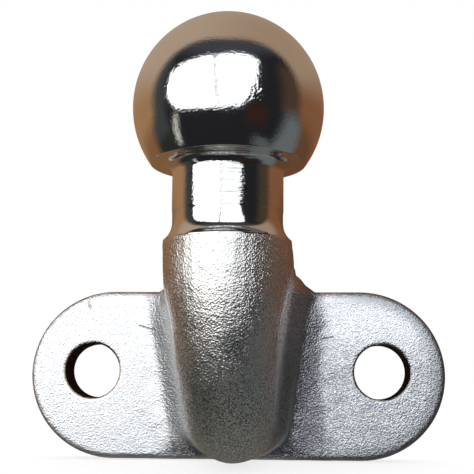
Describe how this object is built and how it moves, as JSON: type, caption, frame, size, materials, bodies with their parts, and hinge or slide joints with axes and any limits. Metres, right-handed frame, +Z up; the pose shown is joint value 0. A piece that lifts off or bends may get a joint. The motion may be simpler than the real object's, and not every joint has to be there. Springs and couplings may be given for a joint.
{
  "type": "tow ball",
  "caption": "Flanged tow ball: a turned ball and neck on a forged arm, with a flange that bolts flat against a bracket.",
  "frame": {"origin": "middle of the line between the two bolt holes, on the flange's flat mounting face", "axes": "+Y is the mounting face's outward normal, towards the bracket; +X runs along the flange from one bolt hole to the other; +Z is up, along the ball's neck"},
  "size_m": [0.129, 0.085, 0.1202],
  "materials": {
    "zinc_plated_steel": "bright zinc plate: smooth and glossy on the turned ball and neck, grainy and satin on the forged arm and flange"
  },
  "bodies": {
    "root": {"tow_ball": "zinc_plated_steel"}
  },
  "joints": []
}
